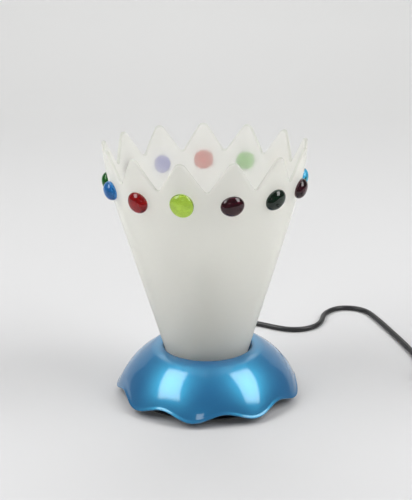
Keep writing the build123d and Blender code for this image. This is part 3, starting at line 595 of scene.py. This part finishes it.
def makeNugget(name, spike, width, height, thickness, tilt, lift, colour, clearness, rng):
    # A drop flattened on the wall: the front is a dome over its widest line, the side curls in below
    # that line to the foot, and the back lies along the wall. The front bends less than the wall does.
    steps = 56
    angle = np.arange(steps) * 2 * np.pi / steps
    twoLobes, threeLobes = rng.uniform(0, 6), rng.uniform(0, 6)
    wobble = 1 + nuggetForm["ovalness"] * np.cos(2 * angle + twoLobes)
    wobble = wobble + nuggetForm["unevenness"] * np.cos(3 * angle + threeLobes)
    belly = thickness * nuggetForm["belly"]
    q = np.sin(np.linspace(0, np.pi / 2, 15))
    swell = (1 - q ** nuggetForm["domePower"]) ** nuggetForm["domeEase"]
    dome = np.stack([q, belly + (thickness - belly) * swell], -1)
    curl = np.linspace(0, np.pi / 2, 6)[1:]
    foot = nuggetForm["footShare"]
    side = np.stack([foot + (1 - foot) * np.cos(curl), belly * (1 - np.sin(curl))], -1)
    back = np.stack([np.linspace(foot, 0, 5)[1:], np.zeros(4)], -1)
    profile = np.concatenate([dome, side, back])[::-1]
    share, rise = profile[:, :1], profile[:, 1:]
    across = share * width / 2 * wobble * np.sin(angle)
    upward = -share * height / 2 * wobble * np.cos(angle)
    rise = rise + 0 * angle
    turn = math.radians(tilt)
    x = across * math.cos(turn) - upward * math.sin(turn)
    y = across * math.sin(turn) + upward * math.cos(turn)
    level = nuggetForm["height"] + lift
    below, seat, above = (float(shadeRadius(np.array(level + step))) for step in (-0.5, 0, 0.5))
    slope = above - below
    fall = seat - np.sqrt(seat**2 - x**2)
    rise = rise - fall * (1 - nuggetForm["frontFlatness"] * rise / thickness) + nuggetForm["glue"]
    size = math.hypot(1, slope)
    yWay, zWay = np.array([0, -slope, 1]) / size, np.array([0, -1, -slope]) / size
    points = x[..., None] * np.array([1, 0, 0]) + y[..., None] * yWay + rise[..., None] * zWay
    points = points + np.array([0, -seat, level])
    place = math.radians(shade["turn"] + (spike - 0.5) * 360 / shade["spikes"])
    cosine, sine = math.cos(place), math.sin(place)
    turned = points @ np.array([[cosine, sine, 0], [-sine, cosine, 0], [0, 0, 1]])
    turned = turned + np.array([shade["shift"], 0, 0])
    material = colouredGlass(name + "Glass", colour, clearness)
    quads = gridQuads(len(profile), steps)
    piece = weldedPiece("nugget" + name.capitalize(), (turned, quads), "shade", material)
    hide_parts("nugget_" + name)


rng = np.random.default_rng(13)
for row in nuggets:
    makeNugget(*row, rng)
print("nuggets ready")


# Base: one closed skin from the wavy edge up the flutes, over the rolled collar, down the cup that
# holds the shade, across its floor, and back down the inside of the skirt.


base = {
    "reach": 82.1,
    "edge": 4.8,
    "collarHeight": 44.5,
    "collarRadius": 46.85,
    "collarRoll": 2.5,
    "blendDrop": 1.9,
    "blendFoot": 42.0,
    "hole": 38.9,
    "bulge": 5.3,
    "lobes": 9,
    "lobeTurn": -10.0,
    "fluteDepth": 1.75,
    "fluteGrowth": 2.0,
    "fluteTop": 41.5,
    "valleyLift": 6.0,
    "wallAcross": 2.37,
    "wallDown": 1.83,
    "webTop": 21.0,
    "webBottom": 18.0,
    "nipple": 5.05,
    "neck": 41.9,
    "cavityTop": 38.67,
    "edgeRound": 1.3,
    "bead": 0.45,
    "beadReach": 1.1,
    "posts": 3,
    "postTurn": 31.0,
    "postCircle": 45.8,
    "postRadius": 4.5,
    "postFoot": 4.2,
    "postTop": 36.0,
    "exitStart": 67.0,
    "exitLength": 12.0,
    "exitBore": 4.1,
    "exitOutside": 6.2,
}


def ridgeRadius(height):
    # The arc through the skirt's edge and the collar's outside, bulging outwards between them.
    rise, run = base["collarHeight"] - base["edge"], base["reach"] - base["collarRadius"]
    chord = math.hypot(rise, run)
    arc = (chord**2 / 4 + base["bulge"] ** 2) / (2 * base["bulge"])
    back = arc - base["bulge"]
    centreR = (base["reach"] + base["collarRadius"]) / 2 - back * rise / chord
    centreZ = (base["collarHeight"] + base["edge"]) / 2 - back * run / chord
    return centreR + np.sqrt(arc**2 - (height - centreZ) ** 2)


def skinRadius(height, wave):
    # The flutes sink by a depth that grows from nothing at the collar to its most at the edge.
    share = np.clip((base["fluteTop"] - height) / (base["fluteTop"] - base["edge"]), 0, 1.2)
    return ridgeRadius(height) - base["fluteDepth"] * share ** base["fluteGrowth"] * wave


def makeBase():
    steps = base["lobes"] * 36
    angle = np.arange(steps) * 2 * np.pi / steps
    wave = (1 - np.cos(base["lobes"] * (angle - math.radians(base["lobeTurn"])))) / 2
    edge = base["edge"] + base["valleyLift"] * wave
    rounding = base["edgeRound"]
    rows = []
    outerFoot = skinRadius(edge, wave)
    innerFoot = skinRadius(edge + base["wallDown"], wave) - base["wallAcross"]
    for turn in np.linspace(0, np.pi / 2, 8)[:-1]:
        under = outerFoot + base["bead"] - rounding * (1 - np.sin(turn))
        rows.append((under, edge + rounding * (1 - np.cos(turn))))
    for share in np.linspace(0, 1, 56) ** 1.5:
        height = edge + rounding + (base["fluteTop"] - edge - rounding) * share
        bead = base["bead"] * np.exp(-(((height - edge - rounding) / base["beadReach"]) ** 2))
        rows.append((skinRadius(height, wave) + bead, height))
    # The collar: one arc up from the flutes to the crown, and a quarter circle down into the cup.
    drop, rollRadius = base["blendDrop"], base["collarRoll"]
    crown = base["hole"] + rollRadius
    reach = float(ridgeRadius(base["collarHeight"] - drop)) - crown
    arc = (reach**2 + drop**2) / (2 * drop)
    turn = np.linspace(np.arcsin(reach / arc), 0, 12)
    outer = np.stack([crown + arc * np.sin(turn), base["collarHeight"] - arc * (1 - np.cos(turn))], -1)
    turn = np.linspace(0, np.pi / 2, 9)[1:]
    inwards, downwards = rollRadius * np.sin(turn), rollRadius * (1 - np.cos(turn))
    inner = np.stack([crown - inwards, base["collarHeight"] - downwards], -1)
    foot = [(float(ridgeRadius(base["blendFoot"])), base["blendFoot"])]
    roll = np.concatenate([foot, outer, inner])
    # Down the cup's wall, over its floor to the nipple's hole, back under the floor and up the neck.
    # The rows between the corners only keep the quads short.
    hole, neck, nipple = base["hole"], base["neck"], base["nipple"]
    top, bottom = base["webTop"], base["webBottom"]
    cup = [(hole, 34.0), (hole, 27.0), (hole, 22.0), (hole - 0.3, 21.3), (hole - 1.0, top)]
    cup += [(30.0, top), (18.0, top), (nipple, top), (nipple, bottom)]
    cup += [(18.0, bottom), (34.0, bottom), (neck - 1.0, bottom), (neck, bottom + 1.0)]
    cup += [(neck, 26.0), (neck, base["cavityTop"] - 1.0)]
    for radius, height in [*roll.tolist(), *cup]:
        rows.append((np.full(steps, radius), np.full(steps, height)))
    for share in np.linspace(0, 1, 30):
        height = base["cavityTop"] + (edge + rounding * 0.5 - base["cavityTop"]) * share
        rows.append((skinRadius(height + base["wallDown"], wave) - base["wallAcross"], height))
    rows.append((innerFoot + 0.5, edge))
    radius, height = np.array([row[0] for row in rows]), np.array([row[1] for row in rows])
    points = np.stack([radius * np.sin(angle), -radius * np.cos(angle), height], -1)
    shells = [(points, gridQuads(*radius.shape, closedRows=True))]
    # The posts for the plate's screws, and the round collar that the cord leaves through.
    wide, foot, top, circle = (base[key] for key in ("postRadius", "postFoot", "postTop", "postCircle"))
    post, postQuads = turnedShell(softened([(0, foot), (wide, foot), (wide, top), (0, top)], 0.3, 3), 32)
    for k in range(base["posts"]):
        turn = math.radians(base["postTurn"] + 360 / base["posts"] * k)
        shells.append((post + np.array([circle * math.sin(turn), -circle * math.cos(turn), 0]), postQuads))
    bore, outside, length = (base[key] for key in ("exitBore", "exitOutside", "exitLength"))
    outline = softened([(bore, 0), (outside, 0), (outside, length), (bore, length)], 0.3, 3)
    middle, way = wayOut()
    shells.append(placed(turnedShell(outline, 48), way * base["exitStart"] + middle, way))
    piece = weldedPiece("baseSkirt", joinShells(*shells), "base", paint)
    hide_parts("base_shell")


makeBase()
print("base ready")


# Strain relief: a ribbed, tapered nose behind a flange, made along Z and laid on the cord's way out


bush = {
    "start": 79.0,
    "bore": 2.62,
    "stem": 4.0,
    "stemLength": 12.0,
    "flange": 5.6,
    "flangeThick": 1.5,
    "nose": 20.0,
    "root": 4.7,
    "tip": 3.6,
    "ribs": 6,
    "ribStart": 2.5,
    "ribPitch": 2.6,
    "ribDip": 0.55,
}


def makeBush():
    # The nose's radius falls evenly and dips between its ribs.
    along = np.linspace(0, bush["nose"], 85)
    radius = bush["root"] + (bush["tip"] - bush["root"]) * along / bush["nose"]
    ribStart, ribPitch = bush["ribStart"], bush["ribPitch"]
    ribbed = (along > ribStart) & (along < ribStart + ribPitch * bush["ribs"])
    dip = np.clip(np.sin(2 * np.pi * (along - ribStart) / ribPitch), 0, 1) ** 0.5 * ribbed
    bore, stem, back = bush["bore"], bush["stem"], -bush["stemLength"]
    flange, front = bush["flange"], bush["flangeThick"]
    nose = np.stack([radius - bush["ribDip"] * dip, along + front], -1)
    outline = [(bore, back), (stem, back), (stem, 0), (flange - 0.3, 0), (flange, 0.3)]
    outline += [(flange, front - 0.4), (flange - 0.4, front), *nose.tolist(), (bore, front + bush["nose"])]
    middle, way = wayOut()
    shell = placed(turnedShell(outline, 40), way * bush["start"] + middle, way)
    piece = weldedPiece("cordBush", shell, "base", bushRubber)
    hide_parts("cord_bush")


makeBush()
print("strain relief ready")


# Plug: rounded sections carried from the cord to the face with the pins


plug = {
    "end": (277.0, 13.4, 6.95),
    "before": (281.0, 0.0, 6.95),
    "length": 36.0,
    "width": 25.6,
    "thick": 13.7,
    "neck": 8.0,
    "easeStart": 0.16,
    "easeLength": 0.44,
    "squareness": 1.6,
    "steps": 64,
}


def makePlug():
    # Each section is a superellipse; width and thickness ease from the neck to the body along it.
    share = np.concatenate([[0, 0, 0.015], np.linspace(0.05, 0.97, 30), [0.99, 1, 1]])
    shrink = np.concatenate([[0, 0.85, 0.97], np.ones(30), [0.97, 0.93, 0]])
    ease = np.clip((share - plug["easeStart"]) / plug["easeLength"], 0, 1)
    ease = ease**2 * (3 - 2 * ease)
    wide = (plug["neck"] + (plug["width"] - plug["neck"]) * ease) * shrink / 2
    thick = (plug["neck"] + (plug["thick"] - plug["neck"]) * ease) * shrink / 2
    power = 2 / (2 + plug["squareness"] * ease)
    steps = plug["steps"]
    angle = np.arange(steps) * 2 * np.pi / steps
    cosine, sine = np.cos(angle), np.sin(angle)
    y = wide[:, None] * np.sign(cosine) * np.abs(cosine) ** power[:, None]
    x = thick[:, None] * np.sign(sine) * np.abs(sine) ** power[:, None]
    along = np.repeat((share * plug["length"])[:, None], steps, axis=1)
    points = np.stack([-x, y, along], -1)
    way = Vector(plug["end"]) - Vector(plug["before"])
    way.z = 0
    shell = placed((points, gridQuads(len(share), steps)), plug["end"], way)
    piece = weldedPiece("plugBody", shell, "base", plugPlastic)
    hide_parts("plug_body")
    return piece


plugBody = makePlug()
print("plug ready")


# Finishes of the pieces that come as packed


steel = (0.58, 0.58, 0.58)
brassTone = (0.72, 0.50, 0.22)
carried = {
    "bottom_plate": grained("plateCoat", (0.035, 0.035, 0.038), 0.5, scale=1400, bump=0.00004),
    "rubber_feet": grained("footRubber", (0.02, 0.02, 0.02), 0.75, scale=900, bump=0.00005),
    "seat_ring": grained("seatFelt", (0.035, 0.035, 0.036), 0.95, scale=1800, bump=0.0002, shade=0.3),
    "threaded_nipple": grained("nippleBrass", brassTone, 0.3, 1, scale=1200, stretch=(0.1, 0.1, 3)),
    "spacer_tube": grained("spacerBrass", brassTone, 0.25, 1, scale=900, stretch=(0.1, 0.1, 3)),
    "holder_core": grained("coreCeramic", (0.72, 0.70, 0.64), 0.6, scale=700, bump=0.00005),
    "thread_shell": grained("shellBrass", brassTone, 0.35, 1, scale=900, stretch=(0.1, 0.1, 3)),
    "centre_contact": grained("contactBrass", brassTone, 0.35, 1),
    "bulb_cap": grained("capAluminium", (0.74, 0.74, 0.73), 0.34, 1, scale=900, stretch=(0.1, 0.1, 3)),
    "bulb_insulator": grained("blackVitrite", (0.01, 0.01, 0.012), 0.12, scale=300, bump=0.00002),
    "bulb_contact": grained("solderDot", (0.5, 0.5, 0.5), 0.45, 1, scale=500, bump=0.0001),
    "inner_sheath": blackCord,
    "core_wires": grained("wireInsulation", (0.16, 0.06, 0.02), 0.4, scale=1200),
    "clamp_bar": grained("clampNylon", (0.68, 0.67, 0.62), 0.5),
    "coil_tie": grained("tieStrap", (0.02, 0.02, 0.021), 0.6, scale=2500, bump=0.0001, stretch=(1, 1, 0.3)),
    "plug_pins": grained("pinMetal", (0.72, 0.66, 0.50), 0.22, 1, scale=900),
}
holderPlastic = grained("holderPlastic", (0.74, 0.73, 0.70), 0.42, scale=1100, shade=0.03)
switchPlastic = grained("switchPlastic", (0.012, 0.012, 0.013), 0.4, scale=1300, bump=0.00004)
for name in ("holder_cap", "holder_sleeve"):
    carried[name] = holderPlastic
for name in ("switch_lower", "switch_upper"):
    carried[name] = switchPlastic
carried["switch_rocker"] = grained("rockerPlastic", (0.014, 0.014, 0.015), 0.2, scale=600, bump=0.00001)
for name in ("plate_screws", "nipple_nut", "lock_washer", "clamp_screws", "switch_screws"):
    label = name.replace("_", "") + "Steel"
    carried[name] = grained(label, steel, 0.32, 1, scale=1500, stretch=(1, 1, 0.15))
for name in ("terminal_screws", "switch_contacts"):
    carried[name] = grained(name.replace("_", "") + "Brass", brassTone, 0.3, 1)


def opalGlass():
    # Opal bulb glass: a white body with a smooth glassy skin that lets some light through.
    material = newMaterial("opalGlass", (0.88, 0.88, 0.86), 0.08)
    shader = material.node_tree.nodes["Principled BSDF"]
    shader.inputs["Coat Weight"].default_value = 0.6
    shader.inputs["Coat Roughness"].default_value = 0.03
    cloud = spread(material, objectNoise(material, 25, 2), 0, 1)
    tint(material, cloud, (0.85, 0.85, 0.83), (0.90, 0.90, 0.885))
    return material


carried["bulb_glass"] = opalGlass()
for name, material in carried.items():
    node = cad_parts[name]
    node.data.materials.clear()
    node.data.materials.append(material)
print("packed pieces finished")


# Studio: a pale sweep, two large soft boxes at the sides and a small one behind the camera


studio = {
    "sweepNear": -0.45,
    "sweepFar": 1.3,
    "sweepHeight": 1.5,
    "sweepRound": 0.8,
    "sweepWidth": 5.0,
    # The paper's colour is painted light: darker near the lamp and lighter towards the wall.
    "paperShadedNear": (0.55, 0.55, 0.555),
    "paperLitFar": (0.79, 0.79, 0.785),
    "paperLitFrom": 0.1,
    "paperLitTo": 1.9,
    "paperRoughness": 0.9,
    "paperShine": 0.15,
    # Name, azimuth, elevation, distance, width, height, lean, power, soft share of the edge.
    "boxes": [
        ("leftBox", -72.5, 47, 1.3, 0.68, 1.32, 38, 18.2, 0.16),
        ("rightBox", 73.5, 43.5, 1.3, 0.70, 1.34, -32, 18.4, 0.16),
        ("frontBox", -5.9, 17.6, 1.6, 0.36, 0.26, 0, 1.1, 0.1),
    ],
    "paperGlow": 0.325,
    "glowFrom": -0.15,
    "glowTo": 1.75,
    "skyTop": (0.0, 0.6, 0.8),
    "skyFrom": 0.84,
    "skyDark": 0.16,
    "skyBright": 2.75,
}


def softEdges(data, margin):
    # The box's light falls off smoothly over a share of its width and height at each side.
    data.use_nodes = True
    nodes, links = data.node_tree.nodes, data.node_tree.links
    split = nodes.new("ShaderNodeSeparateXYZ")
    links.new(nodes.new("ShaderNodeNewGeometry").outputs["Parametric"], split.inputs["Vector"])
    shares = []
    for side in ("X", "Y"):
        middle = nodes.new("ShaderNodeMath")
        middle.operation = "SUBTRACT"
        middle.inputs[1].default_value = 0.5
        away = nodes.new("ShaderNodeMath")
        away.operation = "ABSOLUTE"
        fall = nodes.new("ShaderNodeMapRange")
        fall.interpolation_type = "SMOOTHSTEP"
        for socket, number in zip(("From Min", "From Max", "To Min", "To Max"), (0.5 - margin, 0.5, 1, 0)):
            fall.inputs[socket].default_value = number
        links.new(split.outputs[side], middle.inputs[0])
        links.new(middle.outputs[0], away.inputs[0])
        links.new(away.outputs[0], fall.inputs["Value"])
        shares.append(fall.outputs["Result"])
    both = nodes.new("ShaderNodeMath")
    both.operation = "MULTIPLY"
    for k, share in enumerate(shares):
        links.new(share, both.inputs[k])
    links.new(both.outputs[0], nodes["Emission"].inputs["Strength"])


def makeStudio():
    # The sweep is a floor, a quarter circle and a wall, as rows along it and two columns across.
    turn = np.linspace(0, np.pi / 2, 24)
    far, size = studio["sweepFar"], studio["sweepRound"]
    y = np.concatenate([[studio["sweepNear"], -0.2, 0, 0.5], far + size * np.sin(turn), [far + size]])
    z = np.concatenate([[0, 0, 0, 0], size * (1 - np.cos(turn)), [studio["sweepHeight"]]])
    x = np.array([-studio["sweepWidth"] / 2, studio["sweepWidth"] / 2])
    points = np.stack(np.broadcast_arrays(x[None, :], y[:, None], z[:, None]), -1).reshape(-1, 3)
    mesh = bpy.data.meshes.new("sweep")
    mesh.from_pydata(points.tolist(), [], gridQuads(len(y), 2, closedColumns=False).tolist())
    mesh.polygons.foreach_set("use_smooth", np.full(len(mesh.polygons), True))
    sweep = bpy.data.objects.new("sweep", mesh)
    bpy.context.scene.collection.objects.link(sweep)
    paper = newMaterial("sweepPaper", studio["paperShadedNear"], studio["paperRoughness"])
    sockets = paper.node_tree.nodes["Principled BSDF"].inputs
    sockets["Specular IOR Level"].default_value = studio["paperShine"]
    split = nodeOf(paper, "ShaderNodeSeparateXYZ")
    link(paper, nodeOf(paper, "ShaderNodeTexCoord").outputs["Object"], split.inputs["Vector"])
    # Painted light: the paper's colour goes from darker near the lamp to lighter up the wall.
    paperPaintedLight = spread(paper, split.outputs["Y"], 0, 1, studio["paperLitFrom"], studio["paperLitTo"])
    tint(paper, paperPaintedLight, studio["paperShadedNear"], studio["paperLitFar"])
    # Painted light: the paper glows, from nothing just in front of the lamp to its most up the wall,
    # brightening the backdrop and lifting the shade round the lamp.
    sockets["Emission Color"].default_value = (1, 1, 0.99, 1)
    glow = spread(paper, split.outputs["Y"], 0, studio["paperGlow"], studio["glowFrom"], studio["glowTo"])
    link(paper, glow, sockets["Emission Strength"])
    mesh.materials.append(paper)
    for name, azimuth, elevation, distance, wide, tall, lean, power, soft in studio["boxes"]:
        data = bpy.data.lights.new(name, "AREA")
        data.shape = "RECTANGLE"
        data.size, data.size_y = wide, tall
        data.energy = power
        softEdges(data, soft)
        lamp = bpy.data.objects.new(name, data)
        turn, rise = math.radians(azimuth), math.radians(elevation)
        place = Vector((math.sin(turn) * math.cos(rise), -math.cos(turn) * math.cos(rise), math.sin(rise)))
        lamp.location = place * distance + Vector((0, 0, 0.1))
        facing = place.to_track_quat("Z", "Y").to_matrix()
        lamp.rotation_euler = (facing @ Matrix.Rotation(math.radians(lean), 3, "Z")).to_euler()
        bpy.context.scene.collection.objects.link(lamp)
    world = bpy.data.worlds.new("studio")
    bpy.context.scene.world = world
    world.use_nodes = True
    nodes, links = world.node_tree.nodes, world.node_tree.links
    background = nodes["Background"]
    background.inputs["Color"].default_value = (1, 1, 1, 1)
    coordinates = nodes.new("ShaderNodeTexCoord")
    toTop = nodes.new("ShaderNodeVectorMath")
    toTop.operation = "DOT_PRODUCT"
    toTop.inputs[1].default_value = studio["skyTop"]
    links.new(coordinates.outputs["Generated"], toTop.inputs[0])
    level = nodes.new("ShaderNodeMapRange")
    for socket, key in (("From Min", "skyFrom"), ("To Min", "skyDark"), ("To Max", "skyBright")):
        level.inputs[socket].default_value = studio[key]
    links.new(toTop.outputs["Value"], level.inputs["Value"])
    links.new(level.outputs["Result"], background.inputs["Strength"])
    bpy.context.scene.view_settings.view_transform = "Standard"


makeStudio()
print("studio ready")
